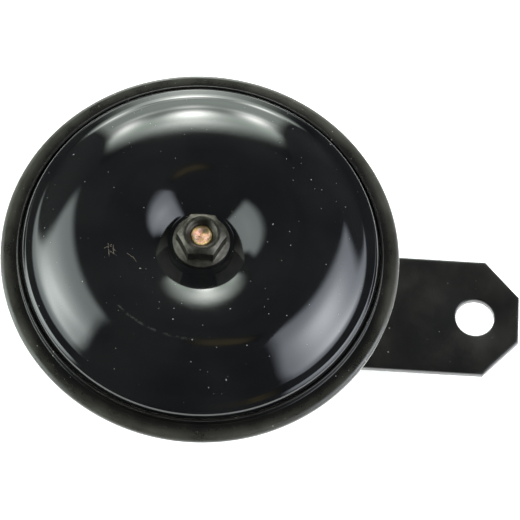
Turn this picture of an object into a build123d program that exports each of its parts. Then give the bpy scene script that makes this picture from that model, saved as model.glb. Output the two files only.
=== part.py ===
from build123d import *
import math
import os

# Vibrating disc horn. Millimetres, +Z the way the sound leaves.
# The origin is the centre of the strap's mounting hole, on the strap's rear face, and the strap
# runs along X, so the horn's own axis is parallel to Z at x = -STRAP_REACH.
# Every piece is drawn about the horn's axis and is put in its place when it is saved.

os.makedirs("parts", exist_ok=True)

# ---------------------------------------------------------------- driving sizes

# mounting strap
STRAP_THICKNESS = 2.0
STRAP_WIDTH = 28.8
STRAP_REACH = 66.0            # horn axis to mounting hole
STRAP_END = 10.4              # mounting hole to the far end
STRAP_CLIP_LENGTH = 8.25      # clipped corners, along the strap
STRAP_CLIP_WIDTH = 8.7        # clipped corners, across the strap
MOUNTING_HOLE_R = 4.6

# folded rim
RIM_R = 46.0
RING_SHEET = 0.5
RING_WIDTH = 4.25             # window to the outer edge
RING_LIP_WIDTH = 3.4          # rear lip that is folded under the case's flange
SEAM_SLACK = 0.1
GASKET_THICKNESS = 0.2
GASKET_WIDTH = 5.6

# deep-drawn case
CASE_SHEET = 0.6
CASE_HEIGHT = 26.3
CASE_FLOOR_R = 33.5
CASE_FLANGE_WIDTH = 7.8
CASE_FLOOR_BEND = 4.0
CASE_MOUTH_BEND = 1.2

# diaphragm and the plate that clamps its middle
DIAPHRAGM_SHEET = 0.25
DIAPHRAGM_DISH = 1.5
DIAPHRAGM_PLATFORM_R = 12.0
DIAPHRAGM_STEP_R = 16.0
DIAPHRAGM_BEND = 1.6
CLAMP_PLATE_R = 9.0
CLAMP_PLATE_THICKNESS = 1.5
SPACER_R = 6.0

# tone disc, heights above the middle of the folded rim
TONE_SHEET = 0.8
TONE_SEAT_HEIGHT = 7.6
TONE_DIMPLE_R = 8.9
TONE_DIMPLE_BEND = 1.0
TONE_SHOULDER_HEIGHT = 10.9   # corners of the crown, before they are rounded
TONE_CREST_HEIGHT = 13.5
TONE_INNER_SHOULDER = 0.141   # places of the corners, as shares of the way from dimple to groove
TONE_CREST = 0.456
TONE_OUTER_SHOULDER = 0.769
TONE_INNER_EASE = 0.66        # share of the shorter straight that each rounding takes up
TONE_CREST_EASE = 0.41
TONE_OUTER_EASE = 0.45
TONE_GROOVE_HEIGHT = 4.5
TONE_GROOVE_BEND = 0.9
TONE_BRIM_HEIGHT = 4.2
TONE_BRIM_BEND = 1.0
TONE_PLAY = 0.45              # turned-down edge inside the ring's window
TONE_LIP_LEAN = 1.15
TONE_BRIM_WIDTH = 1.45
TONE_LIP_HEIGHT = 1.5

# threads, drawn plain
STUD_R = 3.0
STUD_TIP_HEIGHT = 11.7        # above the middle of the folded rim
STUD_CHAMFER = 0.6
TAIL_R = 4.0
TAIL_END = 1.5                # tail past its nut
THREAD_GAP = 0.02
PASSING_GAP = 0.2             # radial play of a plain hole on a thread
DIAPHRAGM_GAP = 0.1

# flange nut
NUT_FLATS = 10.0
NUT_HEIGHT = 6.2
NUT_FLANGE_R = 6.6
NUT_FLANGE_EDGE = 1.0
NUT_FLANGE_SLOPE = 25.0       # degrees
NUT_TOP_R = 4.6
NUT_CHAMFER_SLOPE = 30.0      # degrees
NUT_COUNTERSINK = 0.7

# bracket nut and its lock washer
TAIL_NUT_FLATS = 13.0
TAIL_NUT_HEIGHT = 6.5
TAIL_NUT_TOP_R = 5.8
LOCK_WASHER_R = 6.4
LOCK_WASHER_THICKNESS = 1.8
LOCK_WASHER_SPLIT = 1.0

# magnet
CORE_R = 7.0
CORE_FLANGE_INSET = 2.0       # core's foot inside the bobbin's flange
CORE_FLANGE_THICKNESS = 2.0
AIR_GAP = 0.8
SLUG_R = 9.0
SLUG_HEIGHT = 2.6
PUSHER_R = 12.5
PUSHER_THICKNESS = 1.2
PUSHER_DROP = 2.6             # pusher's front face below the diaphragm's platform
BOSS_R = 6.0
BOBBIN_PLAY = 2.05            # bobbin's flange to the adjuster's bush
BOBBIN_WALL = 1.0
BOBBIN_GAP = 0.1
BOBBIN_TOP_GAP = 1.2          # bobbin below the pole face
WINDING_INSET = 1.2           # winding inside the bobbin's flange

# contact pile, along +Y of the horn
PILE_INSET = 5.0              # pile inside the case's floor radius
PILE_LENGTH = 7.5
PILE_WIDTH = 11.0
STRIP_WIDTH = 8.0
LEAF_THICKNESS = 0.3
LEAF_TIP_PLAY = 0.8           # leaf's tip to the slug
LEAF_BEND_PLAY = 0.4          # leaf's crank to the pusher's edge
LEAF_CRANK = 1.85
LEAF_PUSH_GAP = 0.15
CONTACT_OVERHANG = 2.4        # contacts' axis inside the pile
CONTACT_R = 1.6
CONTACT_HEIGHT = 0.7
ARM_THICKNESS = 0.8
ARM_OVERHANG = 4.4
EAR_WIDTH = 3.8
EAR_REACH = 2.0               # ear past the adjusting screw's axis
INSULATOR_THICKNESS = 0.6
SUPPORT_SHEET = 1.0
SUPPORT_FOOT_OVERHANG = 1.5
PILE_RIVET_R = 1.1
PILE_RIVET_X = 2.6
PILE_RIVET_HEAD_R = 1.9
PILE_RIVET_HEAD = 0.6
LIVE_HOLE_GAP = 0.5           # live strips stand off the rivets
TAB_X = 7.2
TAB_INSET = 3.5               # tabs inside the pile's outer end
TAB_R = 1.3

# adjusting screw
ADJUSTER_X = 9.0
ADJUSTER_R = 1.5
ADJUSTER_END = 1.2            # screw past its locknut
ADJUSTER_SLOT_WIDTH = 0.5
ADJUSTER_SLOT_DEPTH = 0.7
BUSH_R = 2.8
BUSH_HEIGHT = 5.0
LOCKNUT_FLATS = 5.5
LOCKNUT_HEIGHT = 2.4
LOCKNUT_TOP_R = 2.5

# terminals
TERMINAL_INSET = 10.0         # rivets inside the case's floor radius
TERMINAL_Y = 6.5
TERMINAL_PLATE_LENGTH = 21.5
TERMINAL_PLATE_WIDTH = 9.0
TERMINAL_PLATE_THICKNESS = 1.2
TERMINAL_COLLAR_R = 2.5
TERMINAL_COLLAR_GAP = 0.1
TERMINAL_RIVET_R = 1.5
TERMINAL_RIVET_HEAD_R = 2.6
TERMINAL_RIVET_HEAD = 0.8
BLADE_WIDTH = 6.3
BLADE_THICKNESS = 0.8
BLADE_LENGTH = 8.6
BLADE_TIP = 1.4
BLADE_HOLE_R = 0.8
BLADE_BEND = 0.6

# internal leads
LEAD_R = 0.45
LEAD_BEND = 1.5
SUPPLY_LEAD_Z = 9.0
CONTACT_LEAD_Z = 12.0
LEAD_CROSSING_DROP = 2.7      # crossing lead below the fixed arm

# ---------------------------------------------------------------- radii and places that follow

fold_r = (CASE_SHEET + DIAPHRAGM_SHEET) / 2 + GASKET_THICKNESS + RING_SHEET
seam_r = RIM_R - fold_r - SEAM_SLACK
ring_window_r = RIM_R - RING_WIDTH
case_mouth_r = seam_r - CASE_FLANGE_WIDTH
tone_lip_r = ring_window_r - TONE_PLAY
tone_brim_r = tone_lip_r - TONE_LIP_LEAN
tone_groove_r = tone_brim_r - TONE_BRIM_WIDTH

pile_outer = CASE_FLOOR_R - PILE_INSET
pile_inner = pile_outer - PILE_LENGTH
contact_y = pile_inner - CONTACT_OVERHANG
arm_inner = pile_inner - ARM_OVERHANG
tab_y = pile_outer - TAB_INSET
adjuster_y = pile_inner
bobbin_flange_r = math.hypot(ADJUSTER_X, adjuster_y) - BUSH_R - BOBBIN_PLAY
core_flange_r = bobbin_flange_r - CORE_FLANGE_INSET
winding_r = bobbin_flange_r - WINDING_INSET
terminal_x = TERMINAL_INSET - CASE_FLOOR_R


# ---------------------------------------------------------------- heights, from the rear

case_rear_z = STRAP_THICKNESS
case_floor_z = case_rear_z + CASE_SHEET
flange_top_z = case_rear_z + CASE_HEIGHT
flange_rear_z = flange_top_z - CASE_SHEET
diaphragm_z = flange_top_z + GASKET_THICKNESS
front_gasket_z = diaphragm_z + DIAPHRAGM_SHEET
ring_plate_z = front_gasket_z + GASKET_THICKNESS
ring_front_z = ring_plate_z + RING_SHEET
ring_rear_z = flange_rear_z - RING_SHEET
rim_z = (ring_front_z + ring_rear_z) / 2

platform_z = diaphragm_z + DIAPHRAGM_DISH
clamp_plate_z = platform_z + DIAPHRAGM_SHEET
spacer_z = clamp_plate_z + CLAMP_PLATE_THICKNESS
tone_seat_z = rim_z + TONE_SEAT_HEIGHT
stud_tip_z = rim_z + STUD_TIP_HEIGHT

pusher_front_z = platform_z - PUSHER_DROP
pusher_rear_z = pusher_front_z - PUSHER_THICKNESS
slug_rear_z = pusher_rear_z - SLUG_HEIGHT
pole_face_z = slug_rear_z - AIR_GAP
bobbin_rear_z = case_floor_z + CORE_FLANGE_THICKNESS
bobbin_front_z = pole_face_z - BOBBIN_TOP_GAP

leaf_raised_z = pusher_rear_z - LEAF_PUSH_GAP - LEAF_THICKNESS
leaf_z = leaf_raised_z - LEAF_CRANK
support_top_z = leaf_z - INSULATOR_THICKNESS
moving_contact_z = leaf_z + LEAF_THICKNESS
fixed_contact_z = moving_contact_z + CONTACT_HEIGHT
arm_z = fixed_contact_z + CONTACT_HEIGHT
upper_insulator_z = arm_z + ARM_THICKNESS
pile_top_z = upper_insulator_z + INSULATOR_THICKNESS
lead_crossing_z = arm_z - LEAD_CROSSING_DROP

outer_plate_z = case_rear_z - TERMINAL_PLATE_THICKNESS
inner_plate_top_z = case_floor_z + TERMINAL_PLATE_THICKNESS
blade_foot_z = outer_plate_z - BLADE_THICKNESS
rivet_head_top_z = inner_plate_top_z + TERMINAL_RIVET_HEAD

tail_nut_front_z = -LOCK_WASHER_THICKNESS
tail_nut_rear_z = tail_nut_front_z - TAIL_NUT_HEIGHT


# ---------------------------------------------------------------- helpers

def save(name, part):
    """Puts a piece in its place in the horn and writes its file."""
    export_step(Pos(-STRAP_REACH, 0, 0) * part, f"parts/{name}.step")


def turned(*points):
    """A solid of revolution about the horn's axis, from its (radius, height) outline."""
    return revolve(Plane.XZ * make_face(Polyline(*points, close=True)), Axis.Z)


def pressed(points, radii, sheet, side):
    """A round sheet pressing: one face's (radius, height) path, with the sheet laid on one side of it."""
    section = make_face(offset(FilletPolyline(*points, radius=radii), amount=sheet, side=side, closed=True))
    return revolve(Plane.XZ * section, Axis.Z)


def ring(outer_r, inner_r, height, rear_z):
    """A flat ring about the horn's axis."""
    return turned((inner_r, rear_z), (outer_r, rear_z), (outer_r, rear_z + height), (inner_r, rear_z + height))


def plate(x_low, x_high, y_low, y_high, thickness, rear_z):
    """A rectangular plate given by its edges."""
    place = Pos((x_low + x_high) / 2, (y_low + y_high) / 2, rear_z)
    return place * Box(x_high - x_low, y_high - y_low, thickness, align=(Align.CENTER, Align.CENTER, Align.MIN))


def post(x, y, radius, low_z, high_z):
    """A round post parallel to the horn's axis."""
    return Pos(x, y, low_z) * Cylinder(radius, high_z - low_z, align=(Align.CENTER, Align.CENTER, Align.MIN))


def cone_frustum(low_r, high_r, low_z, high_z):
    """A solid cone about the horn's axis, for chamfering hexagons."""
    return turned((0, low_z), (low_r, low_z), (high_r, high_z), (0, high_z))


def hexagon(flats, height, low_z):
    """A hexagonal prism with flats facing +Y and -Y."""
    outline = RegularPolygon(flats / 2, 6, major_radius=False)
    return Pos(0, 0, low_z) * extrude(outline, height)


def eased_bend(before, corner, after, ease):
    """The fillet radius that rounds a corner over a share of its shorter neighbouring straight."""
    run_in = (corner[0] - before[0], corner[1] - before[1])
    run_out = (after[0] - corner[0], after[1] - corner[1])
    turn = math.atan2(run_out[1], run_out[0]) - math.atan2(run_in[1], run_in[0])
    return ease * min(math.hypot(*run_in), math.hypot(*run_out)) / math.tan(abs(turn) / 2)


def wire_lead(points):
    """A round wire through straight runs joined by arcs."""
    path = FilletPolyline(*points, radius=LEAD_BEND)
    return sweep(Plane(path @ 0, z_dir=path % 0) * Circle(LEAD_R), path)


# ---------------------------------------------------------------- front: disc, nut and rim

def tone_disc():
    """Pressed disc: flat dimple that seats the nut, high round crown, groove, brim and turned-down edge."""
    dimple = (TONE_DIMPLE_R, tone_seat_z)
    groove = (tone_groove_r, rim_z + TONE_GROOVE_HEIGHT)
    crown_width = tone_groove_r - TONE_DIMPLE_R
    inner_shoulder = (TONE_DIMPLE_R + crown_width * TONE_INNER_SHOULDER, rim_z + TONE_SHOULDER_HEIGHT)
    crest = (TONE_DIMPLE_R + crown_width * TONE_CREST, rim_z + TONE_CREST_HEIGHT)
    outer_shoulder = (TONE_DIMPLE_R + crown_width * TONE_OUTER_SHOULDER, rim_z + TONE_SHOULDER_HEIGHT)
    path = [
        (STUD_R + PASSING_GAP, tone_seat_z),
        dimple,
        inner_shoulder,
        crest,
        outer_shoulder,
        groove,
        (tone_brim_r, rim_z + TONE_BRIM_HEIGHT),
        (tone_lip_r, rim_z + TONE_LIP_HEIGHT),
    ]
    radii = [
        TONE_DIMPLE_BEND,
        eased_bend(dimple, inner_shoulder, crest, TONE_INNER_EASE),
        eased_bend(inner_shoulder, crest, outer_shoulder, TONE_CREST_EASE),
        eased_bend(crest, outer_shoulder, groove, TONE_OUTER_EASE),
        TONE_GROOVE_BEND,
        TONE_BRIM_BEND,
    ]
    return pressed(path, radii, TONE_SHEET, Side.RIGHT)


def clamp_ring():
    """Ring folded flat round the case's flange: a C in section, with a fully round outer edge."""
    edge_r = RIM_R - fold_r
    width = edge_r - ring_window_r
    height = 2 * fold_r
    band = Pos(edge_r - width / 2, rim_z) * Rectangle(width, height)
    outside = band + Pos(edge_r, rim_z) * Circle(fold_r)
    cavity = Pos(edge_r - width / 2, rim_z) * Rectangle(width, height - 2 * RING_SHEET)
    cavity += Pos(edge_r, rim_z) * Circle(fold_r - RING_SHEET)
    lip_r = RIM_R - RING_LIP_WIDTH
    opening = Pos((ring_window_r + lip_r) / 2, ring_rear_z) * Rectangle(lip_r - ring_window_r, 2 * RING_SHEET)
    return revolve(Plane.XZ * (outside - cavity - opening), Axis.Z)


def flange_nut():
    """Hexagon nut with a sloping round flange, chamfered top and countersunk bore."""
    seat = tone_seat_z
    top = seat + NUT_HEIGHT
    corner_r = NUT_FLATS / math.sqrt(3)
    chamfer_drop = (corner_r - NUT_TOP_R) * math.tan(math.radians(NUT_CHAMFER_SLOPE))
    body = hexagon(NUT_FLATS, NUT_HEIGHT, seat)
    body &= cone_frustum(corner_r, corner_r, seat, top - chamfer_drop) + cone_frustum(
        corner_r, NUT_TOP_R, top - chamfer_drop, top
    )
    slope_rise = (NUT_FLANGE_R - NUT_FLATS / 2) * math.tan(math.radians(NUT_FLANGE_SLOPE))
    flange = cone_frustum(NUT_FLANGE_R, NUT_FLANGE_R, seat, seat + NUT_FLANGE_EDGE)
    flange += cone_frustum(
        NUT_FLANGE_R, NUT_FLATS / 2, seat + NUT_FLANGE_EDGE, seat + NUT_FLANGE_EDGE + slope_rise
    )
    bore_r = STUD_R + THREAD_GAP
    bore = post(0, 0, bore_r, seat, top)
    bore += cone_frustum(bore_r, bore_r + NUT_COUNTERSINK, top - NUT_COUNTERSINK, top)
    return body + flange - bore


def armature():
    """Turned in one: slug facing the pole, pusher disc, boss under the diaphragm and threaded stud."""
    return turned(
        (0, slug_rear_z),
        (SLUG_R, slug_rear_z),
        (SLUG_R, pusher_rear_z),
        (PUSHER_R, pusher_rear_z),
        (PUSHER_R, pusher_front_z),
        (BOSS_R, pusher_front_z),
        (BOSS_R, platform_z),
        (STUD_R, platform_z),
        (STUD_R, stud_tip_z - STUD_CHAMFER),
        (STUD_R - STUD_CHAMFER, stud_tip_z),
        (0, stud_tip_z),
    )


def diaphragm():
    """Thin disc with a raised platform in the middle, clamped at its edge."""
    path = [
        (STUD_R + DIAPHRAGM_GAP, platform_z),
        (DIAPHRAGM_PLATFORM_R, platform_z),
        (DIAPHRAGM_STEP_R, diaphragm_z),
        (seam_r, diaphragm_z),
    ]
    return pressed(path, [DIAPHRAGM_BEND, DIAPHRAGM_BEND], DIAPHRAGM_SHEET, Side.LEFT)


save("tone_disc", tone_disc())
save("clamp_ring", clamp_ring())
save("flange_nut", flange_nut())
save("armature", armature())
save("diaphragm", diaphragm())
save("diaphragm_washer", ring(CLAMP_PLATE_R, STUD_R + PASSING_GAP, CLAMP_PLATE_THICKNESS, clamp_plate_z))
save("tone_disc_spacer", ring(SPACER_R, STUD_R + PASSING_GAP, tone_seat_z - TONE_SHEET - spacer_z, spacer_z))
save("front_gasket", ring(seam_r, seam_r - GASKET_WIDTH, GASKET_THICKNESS, front_gasket_z))
save("rear_gasket", ring(seam_r, seam_r - GASKET_WIDTH, GASKET_THICKNESS, flange_top_z))


# ---------------------------------------------------------------- case and strap

def case():
    """Deep-drawn cup with a flat flange, and holes for the tail, the terminals and the adjuster."""
    path = [
        (TAIL_R + PASSING_GAP, case_rear_z),
        (CASE_FLOOR_R, case_rear_z),
        (case_mouth_r, flange_rear_z),
        (seam_r, flange_rear_z),
    ]
    cup = pressed(path, [CASE_FLOOR_BEND, CASE_MOUTH_BEND], CASE_SHEET, Side.LEFT)
    for y in (TERMINAL_Y, -TERMINAL_Y):
        cup -= post(terminal_x, y, TERMINAL_COLLAR_R + TERMINAL_COLLAR_GAP, case_rear_z, case_floor_z)
    return cup - post(ADJUSTER_X, adjuster_y, ADJUSTER_R + PASSING_GAP, case_rear_z, case_floor_z)


def mounting_strap():
    """Flat strap, round behind the horn and clipped at its free end, with two holes."""
    end_x = STRAP_REACH + STRAP_END
    half = STRAP_WIDTH / 2
    outline = make_face(
        Polyline(
            (0, -half),
            (end_x - STRAP_CLIP_LENGTH, -half),
            (end_x, STRAP_CLIP_WIDTH - half),
            (end_x, half - STRAP_CLIP_WIDTH),
            (end_x - STRAP_CLIP_LENGTH, half),
            (0, half),
            close=True,
        )
    )
    outline += Circle(half)
    outline -= Circle(TAIL_R + PASSING_GAP) + Pos(STRAP_REACH, 0) * Circle(MOUNTING_HOLE_R)
    return extrude(outline, STRAP_THICKNESS)


def lock_washer():
    """Spring washer, split on one side."""
    washer = ring(LOCK_WASHER_R, TAIL_R + PASSING_GAP, LOCK_WASHER_THICKNESS, -LOCK_WASHER_THICKNESS)
    split = plate(
        -LOCK_WASHER_SPLIT / 2, LOCK_WASHER_SPLIT / 2, 0, LOCK_WASHER_R + PASSING_GAP,
        LOCK_WASHER_THICKNESS, -LOCK_WASHER_THICKNESS,
    )
    return washer - split


def chamfered_nut(flats, height, top_r, bore_r, front_z):
    """Plain hexagon nut with its chamfered face to the rear."""
    rear_z = front_z - height
    corner_r = flats / math.sqrt(3)
    drop = (corner_r - top_r) * math.tan(math.radians(NUT_CHAMFER_SLOPE))
    limit = cone_frustum(top_r, corner_r, rear_z, rear_z + drop)
    limit += cone_frustum(corner_r, corner_r, rear_z + drop, front_z)
    return (hexagon(flats, height, rear_z) & limit) - post(0, 0, bore_r, rear_z, front_z)


save("case", case())
save("mounting_bracket", mounting_strap())
save("lock_washer", lock_washer())
save(
    "bracket_nut",
    chamfered_nut(TAIL_NUT_FLATS, TAIL_NUT_HEIGHT, TAIL_NUT_TOP_R, TAIL_R + THREAD_GAP, tail_nut_front_z),
)


# ---------------------------------------------------------------- magnet

def pole_core():
    """Iron core on a round foot, with a threaded tail through the case for the strap."""
    tail_z = tail_nut_rear_z - TAIL_END
    return turned(
        (0, tail_z),
        (TAIL_R - STUD_CHAMFER, tail_z),
        (TAIL_R, tail_z + STUD_CHAMFER),
        (TAIL_R, case_floor_z),
        (core_flange_r, case_floor_z),
        (core_flange_r, bobbin_rear_z),
        (CORE_R, bobbin_rear_z),
        (CORE_R, pole_face_z),
        (0, pole_face_z),
    )


def coil_bobbin():
    """Moulded spool on the core."""
    tube_r = CORE_R + BOBBIN_GAP + BOBBIN_WALL
    return turned(
        (CORE_R + BOBBIN_GAP, bobbin_rear_z),
        (bobbin_flange_r, bobbin_rear_z),
        (bobbin_flange_r, bobbin_rear_z + BOBBIN_WALL),
        (tube_r, bobbin_rear_z + BOBBIN_WALL),
        (tube_r, bobbin_front_z - BOBBIN_WALL),
        (bobbin_flange_r, bobbin_front_z - BOBBIN_WALL),
        (bobbin_flange_r, bobbin_front_z),
        (CORE_R + BOBBIN_GAP, bobbin_front_z),
    )


winding_height = bobbin_front_z - bobbin_rear_z - 2 * BOBBIN_WALL
save("pole_core", pole_core())
save("coil_bobbin", coil_bobbin())
save(
    "coil_winding",
    ring(winding_r, CORE_R + BOBBIN_GAP + BOBBIN_WALL, winding_height, bobbin_rear_z + BOBBIN_WALL),
)


# ---------------------------------------------------------------- contact pile

def pile_holes(radius, low_z, high_z):
    """The two rivet holes of the contact pile."""
    y = (pile_inner + pile_outer) / 2
    return post(PILE_RIVET_X, y, radius, low_z, high_z) + post(-PILE_RIVET_X, y, radius, low_z, high_z)


def insulator(thickness, rear_z):
    """Fibre strip between two pieces of the pile."""
    strip = plate(-PILE_WIDTH / 2, PILE_WIDTH / 2, pile_inner, pile_outer, thickness, rear_z)
    return strip - pile_holes(PILE_RIVET_R + THREAD_GAP, rear_z, rear_z + thickness)


def contact_support():
    """Bent sheet that carries the pile: foot on the case's floor, upright and table."""
    half = PILE_WIDTH / 2
    foot = plate(-half, half, pile_inner - SUPPORT_FOOT_OVERHANG, pile_outer, SUPPORT_SHEET, case_floor_z)
    upright = plate(
        -half, half, pile_outer - SUPPORT_SHEET, pile_outer, support_top_z - case_floor_z, case_floor_z
    )
    table = plate(-half, half, pile_inner, pile_outer, SUPPORT_SHEET, support_top_z - SUPPORT_SHEET)
    holes = pile_holes(PILE_RIVET_R + THREAD_GAP, support_top_z - SUPPORT_SHEET, support_top_z)
    return foot + upright + table - holes


def solder_tab(side, thickness, rear_z):
    """Round-ended tab at the side of a live strip."""
    tab = plate(0, TAB_X, tab_y - TAB_R, tab_y + TAB_R, thickness, rear_z)
    tab += post(TAB_X, tab_y, TAB_R, rear_z, rear_z + thickness)
    return tab if side > 0 else mirror(tab, Plane.YZ)


def contact_leaf():
    """Cranked spring leaf: clamped in the pile, its free end under the pusher."""
    path = Polyline(
        (SLUG_R + LEAF_TIP_PLAY, leaf_raised_z),
        (PUSHER_R + LEAF_BEND_PLAY, leaf_raised_z),
        (arm_inner, leaf_z),
        (pile_outer, leaf_z),
    )
    section = make_face(offset(path, amount=LEAF_THICKNESS, side=Side.LEFT, closed=True))
    strip = extrude(Plane.YZ * section, STRIP_WIDTH / 2, both=True)
    strip += solder_tab(1, LEAF_THICKNESS, leaf_z)
    return strip - pile_holes(PILE_RIVET_R + LIVE_HOLE_GAP, leaf_z, leaf_z + LEAF_THICKNESS)


def fixed_contact_arm():
    """Stiff arm above the leaf, with an ear for the adjusting screw."""
    strip = plate(-STRIP_WIDTH / 2, STRIP_WIDTH / 2, arm_inner, pile_outer, ARM_THICKNESS, arm_z)
    ear = plate(0, ADJUSTER_X + EAR_REACH, adjuster_y - EAR_WIDTH / 2, adjuster_y + EAR_WIDTH / 2,
                ARM_THICKNESS, arm_z)
    strip += ear + solder_tab(-1, ARM_THICKNESS, arm_z)
    return strip - pile_holes(PILE_RIVET_R + LIVE_HOLE_GAP, arm_z, arm_z + ARM_THICKNESS)


def contact_rivets():
    """Two rivets that hold the pile on its support."""
    low_z = support_top_z - SUPPORT_SHEET
    shanks = pile_holes(PILE_RIVET_R, low_z, pile_top_z)
    heads = pile_holes(PILE_RIVET_HEAD_R, pile_top_z, pile_top_z + PILE_RIVET_HEAD)
    tails = pile_holes(PILE_RIVET_HEAD_R, low_z - PILE_RIVET_HEAD, low_z)
    return shanks + heads + tails


save("contact_bracket", contact_support())
save("contact_leaf", contact_leaf())
save("moving_contact", post(0, contact_y, CONTACT_R, moving_contact_z, fixed_contact_z))
save("fixed_contact", post(0, contact_y, CONTACT_R, fixed_contact_z, arm_z))
save("fixed_contact_arm", fixed_contact_arm())
save("lower_insulator", insulator(INSULATOR_THICKNESS, support_top_z))
save("middle_insulator", insulator(arm_z - moving_contact_z, moving_contact_z))
save("upper_insulator", insulator(INSULATOR_THICKNESS, upper_insulator_z))
save("contact_rivets", contact_rivets())


# ---------------------------------------------------------------- adjuster

def adjusting_screw():
    """Headless screw, slotted at the rear, whose tip sets the fixed arm's height."""
    rear_z = case_rear_z - LOCKNUT_HEIGHT - ADJUSTER_END
    screw = post(ADJUSTER_X, adjuster_y, ADJUSTER_R, rear_z, arm_z)
    slot = plate(
        ADJUSTER_X - 2 * ADJUSTER_R, ADJUSTER_X + 2 * ADJUSTER_R,
        adjuster_y - ADJUSTER_SLOT_WIDTH / 2, adjuster_y + ADJUSTER_SLOT_WIDTH / 2,
        ADJUSTER_SLOT_DEPTH, rear_z,
    )
    return screw - slot


bush = post(ADJUSTER_X, adjuster_y, BUSH_R, case_floor_z, case_floor_z + BUSH_HEIGHT)
bush -= post(ADJUSTER_X, adjuster_y, ADJUSTER_R + THREAD_GAP, case_floor_z, case_floor_z + BUSH_HEIGHT)
locknut = chamfered_nut(LOCKNUT_FLATS, LOCKNUT_HEIGHT, LOCKNUT_TOP_R, ADJUSTER_R + THREAD_GAP, case_rear_z)
save("adjusting_screw", adjusting_screw())
save("adjusting_bush", bush)
save("adjusting_locknut", Pos(ADJUSTER_X, adjuster_y, 0) * locknut)


# ---------------------------------------------------------------- terminals

def terminal_plate(rear_z, collars):
    """Fibre plate for both terminals, on one side of the case's floor."""
    half = TERMINAL_PLATE_WIDTH / 2
    body = plate(
        terminal_x - half, terminal_x + half, -TERMINAL_PLATE_LENGTH / 2, TERMINAL_PLATE_LENGTH / 2,
        TERMINAL_PLATE_THICKNESS, rear_z,
    )
    top_z = rear_z + TERMINAL_PLATE_THICKNESS
    for y in (TERMINAL_Y, -TERMINAL_Y):
        if collars:
            body += post(terminal_x, y, TERMINAL_COLLAR_R, top_z, top_z + CASE_SHEET)
        body -= post(terminal_x, y, TERMINAL_RIVET_R + THREAD_GAP, rear_z, top_z + CASE_SHEET)
    return body


def blade_terminal(y):
    """Bent blade: a riveted foot, and a 6.3 mm tab that stands out of the back."""
    foot_end = terminal_x - TERMINAL_PLATE_WIDTH / 2
    path = FilletPolyline(
        (terminal_x + BLADE_WIDTH / 2, outer_plate_z),
        (foot_end, outer_plate_z),
        (foot_end, blade_foot_z - BLADE_LENGTH),
        radius=BLADE_BEND + BLADE_THICKNESS,
    )
    section = make_face(offset(path, amount=BLADE_THICKNESS, side=Side.LEFT, closed=True))
    blade = extrude(Plane.XZ * section, BLADE_WIDTH / 2, both=True)
    tip_z = blade_foot_z - BLADE_LENGTH
    tip_edges = blade.edges().filter_by(Axis.X).group_by(Axis.Z)[0]
    blade = chamfer(tip_edges, BLADE_TIP)
    detent = Pos(foot_end, 0, tip_z + BLADE_LENGTH / 2) * Rot(0, 90, 0) * Cylinder(BLADE_HOLE_R, 4 * BLADE_THICKNESS)
    blade -= detent
    blade -= post(terminal_x, 0, TERMINAL_RIVET_R + THREAD_GAP, blade_foot_z, outer_plate_z)
    return Pos(0, y, 0) * blade


def terminal_rivets():
    """Two rivets that hold the blades and both plates on the case's floor."""
    rivets = []
    for y in (TERMINAL_Y, -TERMINAL_Y):
        shank = post(terminal_x, y, TERMINAL_RIVET_R, blade_foot_z, inner_plate_top_z)
        rear_head = post(terminal_x, y, TERMINAL_RIVET_HEAD_R, blade_foot_z - TERMINAL_RIVET_HEAD, blade_foot_z)
        front_head = post(terminal_x, y, TERMINAL_RIVET_HEAD_R, inner_plate_top_z, rivet_head_top_z)
        rivets.append(shank + rear_head + front_head)
    return rivets[0] + rivets[1]


save("outer_terminal_plate", terminal_plate(outer_plate_z, True))
save("inner_terminal_plate", terminal_plate(case_floor_z, False))
save("coil_terminal", blade_terminal(TERMINAL_Y))
save("contact_terminal", blade_terminal(-TERMINAL_Y))
save("terminal_rivets", terminal_rivets())


# ---------------------------------------------------------------- internal leads

def towards_coil(x, y, start_z, run_z):
    """A lead that leaves (x, y) along the axis and turns inwards to the winding."""
    reach = math.hypot(x, y)
    to_winding = winding_r / reach
    return wire_lead([(x, y, start_z), (x, y, run_z), (x * to_winding, y * to_winding, run_z)])


save("coil_supply_lead", towards_coil(terminal_x, TERMINAL_Y, rivet_head_top_z, SUPPLY_LEAD_Z))
save("coil_contact_lead", towards_coil(TAB_X, tab_y, leaf_z, CONTACT_LEAD_Z))
save(
    "contact_supply_lead",
    wire_lead(
        [
            (terminal_x, -TERMINAL_Y, rivet_head_top_z),
            (terminal_x, -TERMINAL_Y, lead_crossing_z),
            (-TAB_X, tab_y, lead_crossing_z),
            (-TAB_X, tab_y, arm_z),
        ]
    ),
)
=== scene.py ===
# %% [markdown]
# # Dressing a disc horn
# A disc horn is a small electric hammer. A coil pulls a steel disc to and fro some hundreds of times a second,
# and the glossy pressed disc in front throws the sound forward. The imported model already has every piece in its
# right place. Here the pieces that people see get smoother shapes, real edges and finishes.

# %% Load the frame
import math
from collections import namedtuple

import bmesh
import bpy
import numpy as np
from mathutils import Matrix, Vector
from mathutils.geometry import delaunay_2d_cdt


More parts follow.
